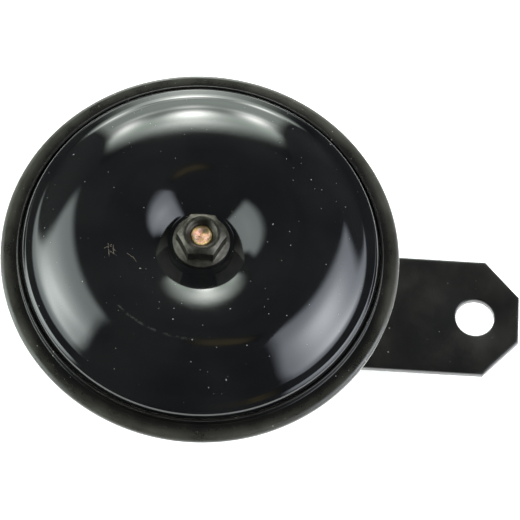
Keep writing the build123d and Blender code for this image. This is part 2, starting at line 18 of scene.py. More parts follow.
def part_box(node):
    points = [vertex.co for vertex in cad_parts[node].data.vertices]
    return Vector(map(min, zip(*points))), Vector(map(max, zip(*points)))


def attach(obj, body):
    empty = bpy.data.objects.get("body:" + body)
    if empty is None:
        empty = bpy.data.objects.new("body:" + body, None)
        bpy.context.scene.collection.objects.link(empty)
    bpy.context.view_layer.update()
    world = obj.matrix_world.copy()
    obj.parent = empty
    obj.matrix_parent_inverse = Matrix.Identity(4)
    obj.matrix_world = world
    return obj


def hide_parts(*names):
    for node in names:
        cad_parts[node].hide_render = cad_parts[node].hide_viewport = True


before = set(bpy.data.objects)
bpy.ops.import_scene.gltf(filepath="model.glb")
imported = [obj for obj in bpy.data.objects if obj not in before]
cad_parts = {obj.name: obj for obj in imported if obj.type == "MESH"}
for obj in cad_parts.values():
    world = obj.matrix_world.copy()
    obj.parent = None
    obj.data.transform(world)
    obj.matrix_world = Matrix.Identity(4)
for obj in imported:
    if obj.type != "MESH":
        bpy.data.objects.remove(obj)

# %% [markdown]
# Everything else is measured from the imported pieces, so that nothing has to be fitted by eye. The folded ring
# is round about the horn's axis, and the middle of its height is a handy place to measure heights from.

Place = namedtuple("Place", "x y z")
MM = 0.001
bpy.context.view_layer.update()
ring_low, ring_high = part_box("clamp_ring")
AXIS_X = (ring_low.x + ring_high.x) / 2 / MM
RIM_Z = (ring_low.z + ring_high.z) / 2 / MM
RIM_R = (ring_high.x - ring_low.x) / 2 / MM
print("horn axis at x %.2f mm, rim middle at z %.3f mm, rim radius %.2f mm" % (AXIS_X, RIM_Z, RIM_R))

# %% Small helpers
def box_mm(node):
    """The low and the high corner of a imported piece, in mm."""
    return [Place(*(value / MM for value in corner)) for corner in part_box(node)]


def put_in_scene(name, data):
    """A new object at the origin, linked to the scene."""
    made = bpy.data.objects.new(name, data)
    bpy.context.scene.collection.objects.link(made)
    return made


def to_data(work, name):
    """Turns a bmesh into mesh data."""
    data = bpy.data.meshes.new(name)
    work.to_mesh(data)
    work.free()
    return data


# %% [markdown]
# ## Camera
# A long lens from about 0.9 m keeps the disc's ellipse nearly the same shape all over. The camera stands on the -Y
# side and looks down at about 66 degrees, rolled a little. Its axes are the columns of a rotation matrix: right, up
# and backwards.

# %% Camera
camera_data = bpy.data.cameras.new("camera")
camera_data.lens = 270.4
camera_data.sensor_width = 36.0
camera_data.clip_start = 0.05
camera_data.clip_end = 20.0
camera = put_in_scene("camera", camera_data)
camera_back = Vector((-0.02085, -0.40186, 0.9155)).normalized()
camera_up = camera_back.cross(Vector((0.99799, 0.04645, 0.04311))).normalized()
turn = Matrix((camera_up.cross(camera_back), camera_up, camera_back)).transposed().to_4x4()
camera.matrix_world = Matrix.Translation(Vector((-70.95, -361.9, 852.5)) * MM) @ turn
bpy.context.scene.camera = camera
print("camera at", [round(v, 3) for v in camera.matrix_world.translation])

# %% [markdown]
# ## A bench for nodes
# Materials and Geometry Nodes are both trees of nodes. Typing a sum such as `1 - mask * 0.5` is easier to read than
# wiring three Math nodes, so a small class stands for a socket and adds those nodes when it meets an operator.

# %% Wires that do sums
class Wire:
    """One output socket. Arithmetic on it adds Math nodes to its tree."""

    def __init__(self, bench, socket):
        self.bench, self.socket = bench, socket


def sum_maker(operation, swapped):
    """The method for one operator, or for the same one with the wire on its right."""
    def method(wire, other):
        return wire.bench.math(operation, *((other, wire) if swapped else (wire, other)))
    return method


for word, operation in (("add", "ADD"), ("sub", "SUBTRACT"), ("mul", "MULTIPLY"), ("truediv", "DIVIDE")):
    setattr(Wire, "__%s__" % word, sum_maker(operation, False))
    setattr(Wire, "__r%s__" % word, sum_maker(operation, True))

# %% The bench
class Bench:
    """Adds nodes to one tree."""

    def __init__(self, tree):
        self.tree = tree

    def plug(self, sockets, key, value):
        """Sets a socket, found by number, identifier or name, or links a wire to it."""
        if isinstance(key, int):
            target = sockets[key]
        else:
            target = next((s for s in sockets if s.identifier == key), None) or sockets[key]
        if isinstance(value, Wire):
            self.tree.links.new(value.socket, target)
        else:
            target.default_value = value

    def node(self, kind, settings=None, sockets=None, out=0):
        """A new node: its settings first, then its sockets. Returns one output as a wire."""
        made = self.tree.nodes.new(kind)
        for name, value in (settings or {}).items():
            setattr(made, name, value)
        for key, value in (sockets or {}).items():
            self.plug(made.inputs, key, value)
        if isinstance(out, int):
            return Wire(self, made.outputs[out])
        return Wire(self, next((s for s in made.outputs if s.identifier == out), None) or made.outputs[out])

    def also(self, wire, out):
        """Another output of the node that a wire comes from."""
        return Wire(self, wire.socket.node.outputs[out])

    def math(self, operation, *values):
        return self.node("ShaderNodeMath", {"operation": operation}, dict(enumerate(values)))

    def between(self, value, low, high):
        """0 below low, 1 above high, and a soft step from one to the other."""
        return self.node(
            "ShaderNodeMapRange", {"interpolation_type": "SMOOTHSTEP"}, {0: value, 1: low, 2: high, 3: 0.0, 4: 1.0}
        )

    def until(self, value, low, high):
        """1 below low and 0 above high."""
        return 1.0 - self.between(value, low, high)

    def parts(self, vector):
        """The x, y and z of a vector."""
        x = self.node("ShaderNodeSeparateXYZ", sockets={0: vector})
        return x, self.also(x, 1), self.also(x, 2)

    def emission(self, color, strength):
        return self.node("ShaderNodeEmission", sockets={"Color": (*color, 1.0), "Strength": strength})

    def rays(self):
        """1 for the camera's rays, and 1 for mirrored ones."""
        seen = self.node("ShaderNodeLightPath", out="Is Camera Ray")
        return seen, self.math("MAXIMUM", self.also(seen, "Is Glossy Ray"), self.also(seen, "Is Transmission Ray"))

    def surface(self, shader):
        """Sends a shader to the material's output."""
        self.plug(self.tree.nodes["Material Output"].inputs, "Surface", shader)


def bare_material(name):
    """A material with no shader yet, and a bench to make one on."""
    material = bpy.data.materials.new(name)
    material.use_nodes = True
    bench = Bench(material.node_tree)
    bench.tree.nodes.remove(bench.tree.nodes["Principled BSDF"])
    return material, bench


# %% [markdown]
# A finish is a bench with a Principled shader on it. Patterns read Object coordinates, which are metres in the
# frame because every finished piece sits at the origin. The masks for dust and for scratches are used by many of
# the finishes, so they are methods.

# %% Finishes
class Finish(Bench):
    """A material made on a bench, with its Principled shader."""

    def __init__(self, name, color, roughness, **fixed):
        self.name, self.material = name, bpy.data.materials.new(name)
        self.material.use_nodes = True
        super().__init__(self.material.node_tree)
        self.shader = self.tree.nodes["Principled BSDF"]
        self.place = self.node("ShaderNodeTexCoord", out="Object")
        self.look((*color, 1.0), roughness)
        for key, value in fixed.items():
            self.plug(self.shader.inputs, key.replace("_", " "), value)

    def put(self, **sockets):
        for key, value in sockets.items():
            self.plug(self.shader.inputs, key, value)

    def look(self, color, roughness):
        self.put(**{"Base Color": color, "Roughness": roughness})

    def noise(self, scale, detail=2.0, roughness=0.5, place=None, distortion=0.0):
        return self.node(
            "ShaderNodeTexNoise",
            sockets={"Vector": place or self.place, "Scale": scale, "Detail": detail, "Roughness": roughness,
                     "Distortion": distortion},
        )

    def stretched(self, x, y, z, turn_z=0.0):
        """The place, drawn out so that a pattern runs along one direction."""
        return self.node(
            "ShaderNodeMapping", sockets={"Vector": self.place, "Scale": (x, y, z), "Rotation": (0.0, 0.0, turn_z)}
        )

    def grain(self, scale, detail, roughness, distortion, along=(1.0, 1.0, 1.0)):
        """Noise that is drawn out along a direction."""
        return self.noise(scale, detail, roughness, self.stretched(*along), distortion)

    def specks(self, spacing, size, share):
        """Round specks of dust on the faces that look up: their spacing and size in mm, and the share of places
        that hold one."""
        flat = self.stretched(1.0, 1.0, 0.0)
        distance = self.node(
            "ShaderNodeTexVoronoi", {"voronoi_dimensions": "2D"},
            {"Vector": flat, "Scale": 1000.0 / spacing, "Randomness": 1.0},
        )
        pick = self.parts(self.also(distance, "Color"))
        radius = (pick[1] * 0.8 + 0.2) * (size / 2 / spacing)
        up = self.facing_up()
        near = self.until(distance, radius * 0.6, radius)
        return near * self.math("LESS_THAN", pick[0], share) * self.between(up, 0.3, 0.5)

    def facing_up(self):
        """1 where the face looks along +Z, 0 where it looks sideways."""
        return self.parts(self.node("ShaderNodeNewGeometry", out="Normal"))[2]

    def stroke(self, x, y, start, end, width):
        """A thin straight scratch between two places, in mm about the horn's axis."""
        dx, dy = end[0] - start[0], end[1] - start[1]
        along = ((x - start[0]) * dx + (y - start[1]) * dy) / (dx * dx + dy * dy)
        along = self.math("MAXIMUM", self.math("MINIMUM", along, 1.0), 0.0)
        gap_x, gap_y = x - start[0] - along * dx, y - start[1] - along * dy
        gap = self.math("SQRT", gap_x * gap_x + gap_y * gap_y)
        return self.until(gap, width * 0.3, width)

    def tint(self, base, color, factor):
        """Base colour wire or colour, blended towards another colour."""
        def as_color(value):
            return value if isinstance(value, Wire) else (*value, 1.0)
        return self.node(
            "ShaderNodeMix", {"data_type": "RGBA"},
            {"Factor_Float": factor, "A_Color": as_color(base), "B_Color": as_color(color)}, "Result_Color",
        )

    def bump(self, height, distance):
        """Feeds a height, in mm, to the shader's normal."""
        sockets = {"Strength": 1.0, "Distance": distance * MM, "Height": height}
        self.put(Normal=self.node("ShaderNodeBump", sockets=sockets, out="Normal"))

    def about_axis(self):
        """x and y in mm about the horn's axis."""
        x, y, _ = self.parts(self.place)
        return x * 1000.0 - AXIS_X, y * 1000.0

    def radius(self):
        """Distance from the horn's axis in mm, and the angle round it in radians."""
        x, y = self.about_axis()
        return self.math("SQRT", x * x + y * y), self.math("ARCTAN2", y, x)


def metal(name, color, roughness, **fixed):
    return Finish(name, color, roughness, Metallic=1.0, **fixed)


# %% [markdown]
# ## Light and floor
# Three big soft panels light the horn: one on each side and one behind, with the brighter tubes showing through
# its cloth. A faint warm strip hangs overhead. On a glossy black disc nearly everything that is seen is a
# reflection of these panels, so their places and shapes matter more than the paint. Each panel is given by its
# middle direction from the horn and its four corners, in units of its distance.

# %% Soft panels
PANEL_DISTANCE = 2.5
PANEL_STEPS = 12
LAMP_WHITE = (1.0, 1.0, 0.97)
HORN_CENTRE = Vector((AXIS_X * MM, 0.0, (RIM_Z + 8.0) * MM))


def panel_mesh(name, azimuth, elevation, corners):
    """A four-cornered sheet that faces the horn, with its UV map."""
    a, e = math.radians(azimuth), math.radians(elevation)
    out = Vector((math.cos(e) * math.cos(a), math.cos(e) * math.sin(a), math.sin(e)))
    right = Vector((math.sin(a), -math.cos(a), 0.0))
    up = right.cross(out)
    work = bmesh.new()
    grid = {}
    low_left, low_right, high_right, high_left = [Vector(c) for c in corners]
    for i in range(PANEL_STEPS + 1):
        for j in range(PANEL_STEPS + 1):
            u, v = i / PANEL_STEPS, j / PANEL_STEPS
            flat = low_left.lerp(low_right, u).lerp(high_left.lerp(high_right, u), v)
            grid[i, j] = work.verts.new(HORN_CENTRE + (out + right * flat.x + up * flat.y) * PANEL_DISTANCE)
    sheet = work.loops.layers.uv.new("cloth")
    for i in range(PANEL_STEPS):
        for j in range(PANEL_STEPS):
            corner_steps = ((0, 0), (1, 0), (1, 1), (0, 1))
            face = work.faces.new([grid[i + di, j + dj] for di, dj in corner_steps])
            for loop, (di, dj) in zip(face.loops, corner_steps):
                loop[sheet].uv = ((i + di) / PANEL_STEPS, (j + dj) / PANEL_STEPS)
    return to_data(work, name)


def panel(name, azimuth, elevation, corners, color, strength):
    """A glowing cloth. strength(bench, u, v) gives the brightness of the tinted cloth and of the whiter lamps
    behind it, with u and v from 0 to 1."""
    data = panel_mesh(name, azimuth, elevation, corners)
    cloth = put_in_scene(name, data)
    material, bench = bare_material(name)
    u, v, _ = bench.parts(bench.node("ShaderNodeUVMap", {"uv_map": "cloth"}))
    tinted, white = strength(bench, u, v)
    veil, lamps = bench.emission(color, tinted), bench.emission(LAMP_WHITE, white)
    bench.surface(bench.node("ShaderNodeAddShader", sockets={0: veil, 1: lamps}))
    data.materials.append(material)
    cloth.visible_camera = False


# %% What glows on each panel
def soft_frame(bench, u, v, edge):
    """1 inside the cloth, fading to 0 over the last share of its width."""
    def side(w):
        return bench.between(w, 0.0, edge) * bench.until(w, 1.0 - edge, 1.0)
    return side(u) * side(v)


def spot(bench, u, v, u0, v0, width, height):
    """A soft oval glow about (u0, v0)."""
    x, y = (u - u0) * (1.0 / width), (v - v0) * (1.0 / height)
    return bench.math("EXPONENT", (x * x + y * y) * -1.0)


def left_glow(bench, u, v):
    frame_edge = soft_frame(bench, u, v, 0.16)
    return frame_edge * (3.5 + 3.2 * spot(bench, u, v, 0.5, 0.3, 0.42, 0.32)), frame_edge * (
        2.2 * spot(bench, u, v, 0.52, 0.36, 0.32, 0.16) + 3.4 * spot(bench, u, v, 0.55, 0.37, 0.34, 0.05)
    )


def right_glow(bench, u, v):
    frame_edge = soft_frame(bench, u, v, 0.16)
    return frame_edge * (3.2 + 3.4 * spot(bench, u, v, 0.52, 0.50, 0.28, 0.28)), frame_edge * (
        4.2 * spot(bench, u, v, 0.52, 0.50, 0.20, 0.22)
    )


BACK_TUBES = [
    # strength, middle u and v, half width and half height
    (17.0, 0.50, 0.60, 0.095, 0.15), (6.0, 0.50, 0.84, 0.14, 0.08), (3.5, 0.50, 0.27, 0.09, 0.05),
    (9.0, 0.17, 0.50, 0.085, 0.14), (11.0, 0.81, 0.44, 0.085, 0.14), (2.0, 0.25, 0.28, 0.12, 0.04),
    (2.0, 0.78, 0.28, 0.12, 0.04),
]


def back_glow(bench, u, v):
    tubes = sum(strength * spot(bench, u, v, *oval) for strength, *oval in BACK_TUBES)
    cloth = 1.6 + 3.6 * bench.between(v, 0.42, 0.66)
    # the top edge is bowed: full height in the middle, lower towards both ends
    x = (u - 0.5) * 2.0
    cut = soft_frame(bench, u, v, 0.09) * bench.until(v + 0.26 * x * x, 0.80, 1.12)
    return cut * cloth, cut * tubes


def strip_glow(bench, u, v):
    return soft_frame(bench, u, v, 0.35) * 0.5, 0.0


# %% Hang the panels
panel("side_panel_left", 175, 22, [(-0.90, -0.26), (0.06, -0.81), (0.81, 0.34), (-0.21, 0.97)],
      (0.88, 1.0, 0.975), left_glow)
panel("side_panel_right", -8, 22, [(-0.08, -0.62), (0.93, -0.27), (0.14, 1.22), (-1.03, -0.17)],
      (0.83, 0.90, 1.0), right_glow)
panel("back_panel", 94, 12, [(-0.48, -0.72), (0.48, -0.72), (0.48, 0.51), (-0.48, 0.51)],
      (0.88, 1.0, 0.91), back_glow)
panel("warm_strip_overhead", -90, 83, [(-0.34, -0.045), (0.06, -0.035), (0.06, 0.035), (-0.34, 0.045)],
      (1.0, 0.80, 0.30), strip_glow)

# %% [markdown]
# The horn lies on its back, so its tail touches the floor. The floor is a white card, cut short so that the disc's
# steep flank doesn't mirror it, and past its edges the white of the sky takes over without a seam. Round all of
# this hangs a dark tent that the lens sees through: it is what the black paint mirrors between the panels, and it
# is why the black stays black.

# %% Floor
FLOOR_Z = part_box("pole_core")[0].z - 0.0001
FLOOR_X, FLOOR_Y = (-0.28, 0.16), (-0.19, 0.10)


def make_floor():
    data = bpy.data.meshes.new("floor")
    corners = [(0, 0), (1, 0), (1, 1), (0, 1)]
    data.from_pydata([(FLOOR_X[i], FLOOR_Y[j], FLOOR_Z) for i, j in corners], [], [(0, 1, 2, 3)])
    floor = put_in_scene("floor", data)
    card = Finish("white_card", (0.93, 0.93, 0.925), 0.85)
    seen, mirrored = card.rays()
    glow = card.emission((1.0, 0.995, 0.975), 0.22 + 0.30 * seen + 1.5 * mirrored)
    lit = card.node("ShaderNodeAddShader", sockets={0: Wire(card, card.shader.outputs[0]), 1: glow})
    clear = card.node("ShaderNodeBsdfTransparent")
    back = card.node("ShaderNodeNewGeometry", out="Backfacing")
    card.surface(card.node("ShaderNodeMixShader", sockets={0: back, 1: lit, 2: clear}))
    data.materials.append(card.material)


make_floor()
print("floor at z %.1f mm" % (FLOOR_Z / MM))

# %% Tent and sky
TENT_R = 3.4


def make_tent():
    """A dark, faintly glowing dome of cloth outside the panels."""
    work = bmesh.new()
    bmesh.ops.create_icosphere(work, subdivisions=4, radius=TENT_R)
    bmesh.ops.translate(work, verts=work.verts, vec=HORN_CENTRE)
    data = to_data(work, "dark_tent")
    tent = put_in_scene("dark_tent", data)
    material, bench = bare_material("dark_tent")
    place = bench.node("ShaderNodeTexCoord", out="Object")
    folds = bench.node("ShaderNodeTexNoise", sockets={"Vector": place, "Scale": 0.7, "Detail": 1.0})
    bench.surface(bench.emission((0.94, 0.97, 1.0), 0.02 + 0.12 * folds))
    data.materials.append(material)
    tent.visible_camera = False


def make_sky():
    """White for the lens and for mirrored rays, and dim as a light."""
    world = bpy.data.worlds.new("room")
    bpy.context.scene.world = world
    world.use_nodes = True
    room = Bench(world.node_tree)
    sky = room.tree.nodes["Background"]
    seen, mirrored = room.rays()
    room.plug(sky.inputs, "Color", (1.0, 1.0, 0.99, 1.0))
    room.plug(sky.inputs, "Strength", room.math("MAXIMUM", seen, mirrored) * 0.93 + 0.07)


make_tent()
make_sky()
bpy.context.scene.view_settings.view_transform = "Standard"

# %% [markdown]
# ## Turning a profile
# The disc, the ring, the case and the stud are all round about the horn's axis, so one Geometry Nodes tree makes
# them all. It takes an outline of points (radius, height), lays a grid over it, and bends that grid round the
# axis. A point may also be marked as threaded, and then the radius follows a screw line there.

# %% The turning tree
TURNING_INPUTS = [
    ("Outline", "Geometry", None), ("Outline Points", "Int", 8), ("Segments", "Int", 128), ("Axis X", "Float", 0.0),
    ("Axis Y", "Float", 0.0), ("Thread Pitch", "Float", 0.001), ("Thread Depth", "Float", 0.0),
    ("Finish", "Material", None),
]


def make_turning_tree():
    tree = bpy.data.node_groups.new("turned_piece", "GeometryNodeTree")
    for name, kind, value in TURNING_INPUTS:
        socket = tree.interface.new_socket(name, in_out="INPUT", socket_type="NodeSocket" + kind)
        if value is not None:
            socket.default_value = value
    tree.interface.new_socket("Geometry", in_out="OUTPUT", socket_type="NodeSocketGeometry")
    bench = Bench(tree)
    given = tree.nodes.new("NodeGroupInput")
    g = {s.name: Wire(bench, s) for s in given.outputs if s.name}
    grid = bench.node(
        "GeometryNodeMeshGrid",
        sockets={"Size X": 1.0, "Size Y": 1.0, "Vertices X": g["Outline Points"], "Vertices Y": g["Segments"] + 1},
    )
    u, v, _ = bench.parts(bench.node("GeometryNodeInputPosition"))
    index = bench.math("ROUND", (u + 0.5) * (g["Outline Points"] - 1))
    angle = (v + 0.5) * (2 * math.pi)

    def sampled(kind, value):
        return bench.node(
            "GeometryNodeSampleIndex", {"data_type": kind, "domain": "POINT"},
            {"Geometry": g["Outline"], "Value": value, "Index": index},
        )

    r, _, z = bench.parts(sampled("FLOAT_VECTOR", bench.node("GeometryNodeInputPosition")))
    cut = sampled(
        "FLOAT", bench.node("GeometryNodeInputNamedAttribute", {"data_type": "FLOAT"}, {"Name": "threaded"})
    )
    turns = z / g["Thread Pitch"] - (v + 0.5)
    tooth = bench.math("ABSOLUTE", bench.math("FRACT", turns) - 0.5) * 2.0
    tooth = bench.between(tooth, 0.12, 0.88)
    r = r - tooth * cut * g["Thread Depth"]
    where = bench.node(
        "ShaderNodeCombineXYZ",
        sockets={
            0: g["Axis X"] + r * bench.math("COSINE", angle),
            1: g["Axis Y"] + r * bench.math("SINE", angle),
            2: z,
        },
    )
    bent = bench.node("GeometryNodeSetPosition", sockets={"Geometry": grid, "Position": where})
    closed = bench.node("GeometryNodeMergeByDistance", sockets={"Geometry": bent, "Distance": 1e-6})
    smooth = bench.node("GeometryNodeSetShadeSmooth", sockets={"Geometry": closed, "Shade Smooth": True})
    real = bench.node("GeometryNodeRealizeInstances", sockets={"Geometry": smooth})
    painted = bench.node("GeometryNodeSetMaterial", sockets={"Geometry": real, "Material": g["Finish"]})
    ends = tree.nodes.new("NodeGroupOutput")
    bench.plug(ends.inputs, 0, painted)
    return tree


TURNING = make_turning_tree()

# %% Pieces that are turned from an outline
def set_input(modifier, name, value):
    """Sets a Geometry Nodes input by its identifier, found from its name."""
    for item in modifier.node_group.interface.items_tree:
        if item.item_type == "SOCKET" and item.in_out == "INPUT" and item.name == name:
            modifier[item.identifier] = value


def settle(name, data):
    """A new object at the origin from finished mesh data, with its faces turned outwards."""
    work = bmesh.new()
    work.from_mesh(data)
    bmesh.ops.remove_doubles(work, verts=work.verts, dist=1e-7)
    bmesh.ops.dissolve_degenerate(work, edges=work.edges, dist=1e-8)
    bmesh.ops.delete(work, geom=[e for e in work.edges if not e.link_faces], context="EDGES")
    bmesh.ops.recalc_face_normals(work, faces=work.faces)
    open_edges = sum(1 for e in work.edges if not e.is_manifold)
    triangles = sum(len(f.verts) - 2 for f in work.faces)
    work.to_mesh(data)
    work.free()
    print("%s: %d triangles, %d open edges" % (name, triangles, open_edges))
    return put_in_scene(name, data)


def evaluated(piece):
    """Mesh data with the modifiers of a piece applied. The piece loses them."""
    made = bpy.data.meshes.new_from_object(piece.evaluated_get(bpy.context.evaluated_depsgraph_get()))
    piece.modifiers.clear()
    return made


def turned_piece(name, outline, finish, segments=192, axis=(AXIS_X, 0.0), pitch=1.0, depth=0.0):
    """Turns a closed outline of (radius, height) or (radius, height, threaded) points in mm."""
    points = list(outline) + [outline[0]]
    data = bpy.data.meshes.new(name + "_outline")
    sides = [(i, i + 1) for i in range(len(points) - 1)]
    data.from_pydata([(p[0] * MM, 0.0, p[1] * MM) for p in points], sides, [])
    marks = data.attributes.new("threaded", "FLOAT", "POINT")
    marks.data.foreach_set("value", [p[2] if len(p) > 2 else 0.0 for p in points])
    blank = put_in_scene(name + "_outline", data)
    lathe = blank.modifiers.new("turning", "NODES")
    lathe.node_group = TURNING
    for key, value in {
        "Outline Points": len(points), "Segments": segments, "Axis X": axis[0] * MM, "Axis Y": axis[1] * MM,
        "Thread Pitch": pitch * MM, "Thread Depth": depth * MM, "Finish": finish.material,
    }.items():
        set_input(lathe, key, value)
    made = evaluated(blank)
    made.name = name
    bpy.data.objects.remove(blank)
    bpy.data.meshes.remove(data)
    return settle(name, made)


def rounded(corners, steps=6):
    """A closed outline whose corners (radius, height, bend) are replaced by arcs, all in mm."""
    outline = []
    for i, corner in enumerate(corners):
        here = Vector(corner[:2])
        bend = corner[2] if len(corner) > 2 else 0.0
        if bend <= 0:
            outline.append(tuple(here))
            continue
        before, after = Vector(corners[i - 1][:2]) - here, Vector(corners[(i + 1) % len(corners)][:2]) - here
        half = before.angle(after) / 2
        reach = min(bend / math.tan(half), before.length * 0.49, after.length * 0.49)
        start, end = here + before.normalized() * reach, here + after.normalized() * reach
        for k in range(steps + 1):
            t = k / steps
            # a quadratic curve through the corner's tangents is close to an arc, and never overshoots
            outline.append(tuple(start.lerp(here, t).lerp(here.lerp(end, t), t)))
    return outline


# %% [markdown]
# ## Gloss black paint
# The disc is pressed steel with a deep gloss black paint. The black comes from a very dark base and a sharp
# reflection. What keeps it from looking like plastic from a toy box is small: a trace of orange peel, dust that has
# settled on it, a few scratches near the middle and a faint scuff where something rubbed round it.

# %% Gloss black finish
SCRATCHES = [
    ((-21.9, -5.2), (-20.3, -4.1)), ((-21.1, -3.9), (-20.7, -7.0)), ((-20.5, -4.5), (-19.3, -5.6)),
    ((-19.9, -4.2), (-19.7, -6.4)), ((-20.9, -5.6), (-19.1, -6.6)), ((-16.6, -5.7), (-15.5, -6.4)),
    ((-15.3, -6.3), (-14.5, -7.4)),
]
SCRATCH_WIDTH = 0.13
SCUFF_R = 25.7


def make_gloss_black():
    paint = Finish("gloss_black_paint", (0.0062, 0.0064, 0.0068), 0.085, IOR=1.5)
    x, y = paint.about_axis()
    r, angle = paint.radius()
    cloudy = paint.noise(55.0, 3.0)
    grain = paint.noise(1500.0, 2.0)
    settled = paint.math("MAXIMUM", paint.specks(4.2, 0.42, 0.14), paint.specks(1.7, 0.24, 0.07))
    scratched = 0.0
    for start, end in SCRATCHES:
        scratched = paint.math("MAXIMUM", paint.stroke(x, y, start, end, SCRATCH_WIDTH), scratched)
    scratched = scratched * paint.between(paint.noise(2600.0, 2.0), 0.36, 0.52)
    # a broken scuff along part of a circle, where something rubbed round the disc
    ring = paint.until(paint.math("ABSOLUTE", r - (SCUFF_R + 0.5 * cloudy)), 0.1, 0.42)
    span = paint.between(angle, -2.45, -2.3) * paint.until(angle, -1.75, -1.5)
    scuff = ring * span * paint.between(paint.noise(700.0, 3.0, 0.6), 0.40, 0.66)
    color = paint.tint((0.0050, 0.0050, 0.0056), (0.0078, 0.0078, 0.0080), paint.between(cloudy, 0.35, 0.7))
    color = paint.tint(color, (0.34, 0.34, 0.31), settled * 0.6)
    color = paint.tint(color, (0.20, 0.17, 0.13), scratched * 0.5)
    color = paint.tint(color, (0.10, 0.095, 0.085), scuff * 0.13)
    rough = 0.07 + 0.05 * paint.between(cloudy, 0.35, 0.75) + 0.5 * settled + 0.35 * scuff
    paint.look(color, paint.math("MINIMUM", rough, 0.9))
    paint.bump(paint.noise(420.0, 1.0) * 0.8 + grain * 0.2, 0.006)
    return paint


GLOSS_BLACK = make_gloss_black()

# %% [markdown]
# ## The sounding disc
# A press draws the disc from 0.8 mm sheet. Its shape is easiest to give as a slope at each radius: level where the
# nut sits, steep out of the dimple, easing to a round crest, then falling ever more steeply to a small groove, a
# narrow brim and a turned-down edge. Adding up the slopes gives the height, and a shape given this way has
# smooth reflections, because its slope never jumps.

# %% Disc profile
SHEET = 0.8
seat_z = box_mm("flange_nut")[0].z
DISC_SLOPES = [
    # radius in mm, slope in degrees
    (3.3, 0.0), (6.9, 0.0), (7.9, 25.5), (8.8, 26.5), (9.9, 27.0), (11.0, 28.5), (12.4, 25.5), (14.0, 21.1),
    (17.0, 16.3), (20.0, 13.0), (22.5, 0.0), (25.0, -12.2), (28.0, -16.3), (31.0, -25.2), (34.0, -37.5),
    (36.2, -41.5), (37.3, -38.5), (38.3, -23.0), (39.0, -15.5), (40.05, -15.5), (40.25, -46.0), (40.65, -50.0),
    (40.85, -67.0), (41.3, -71.0),
]
DISC_BORE, DISC_EDGE = DISC_SLOPES[0][0], DISC_SLOPES[-1][0]

# %% From slopes to the disc
def easy_curve(x, knots_x, knots_y):
    """A smooth curve through the knots that never overshoots them."""
    h, d = np.diff(knots_x), np.diff(knots_y) / np.diff(knots_x)
    m = np.zeros(len(knots_x))
    for i in range(1, len(d)):
        if d[i - 1] * d[i] > 0:
            a, b = 2 * h[i] + h[i - 1], h[i] + 2 * h[i - 1]
            m[i] = (a + b) / (a / d[i - 1] + b / d[i])
    i = np.clip(np.searchsorted(knots_x, x) - 1, 0, len(h) - 1)
    t = (x - knots_x[i]) / h[i]
    return (
        (2 * t**3 - 3 * t**2 + 1) * knots_y[i] + (t**3 - 2 * t**2 + t) * h[i] * m[i]
        + (3 * t**2 - 2 * t**3) * knots_y[i + 1] + (t**3 - t**2) * h[i] * m[i + 1]
    )


def disc_outline():
    """The disc's closed outline: front face outwards, the cut edge, and the rear face back to the bore."""
    knots = np.array(DISC_SLOPES)
    fine = np.unique(np.concatenate([
        np.linspace(DISC_BORE, 6.8, 6), np.linspace(6.8, 9.0, 26), np.linspace(9.0, 22.0, 46),
        np.linspace(22.0, 37.4, 66), np.linspace(37.4, 40.0, 40), np.linspace(40.0, DISC_EDGE, 40),
    ]))
    slope = np.radians(easy_curve(fine, knots[:, 0], knots[:, 1]))
    dense_r = np.linspace(DISC_BORE, DISC_EDGE, 8000)
    dense_slope = np.radians(easy_curve((dense_r[1:] + dense_r[:-1]) / 2, knots[:, 0], knots[:, 1]))
    dense_z = np.concatenate([[0.0], np.cumsum(np.tan(dense_slope) * np.diff(dense_r))])
    height = seat_z + np.interp(fine, dense_r, dense_z)
    front = np.stack([fine, height], 1)
    rear = front + np.stack([np.sin(slope), -np.cos(slope)], 1) * SHEET
    middle, along = (front[-1] + rear[-1]) / 2, np.array([math.cos(slope[-1]), math.sin(slope[-1])])
    across = (front[-1] - rear[-1]) / 2
    edge = [middle + across * math.cos(t) + along * 0.16 * math.sin(t) for t in np.linspace(0.0, math.pi, 9)[1:-1]]
    print("disc: crest %.2f mm above the rim, edge at %.2f mm" % (height.max() - RIM_Z, height[-1] - RIM_Z))
    return [tuple(p) for p in front] + [tuple(p) for p in edge] + [tuple(p) for p in rear[::-2]]


tone_disc = turned_piece("sounding_disc", disc_outline(), GLOSS_BLACK, segments=256)

# %% [markdown]
# ## Satin black paint
# The ring and the case carry a thinner, satin paint. It scatters light, so the panels show only as a soft sheen,
# and its fine grain catches more dust than the gloss does.

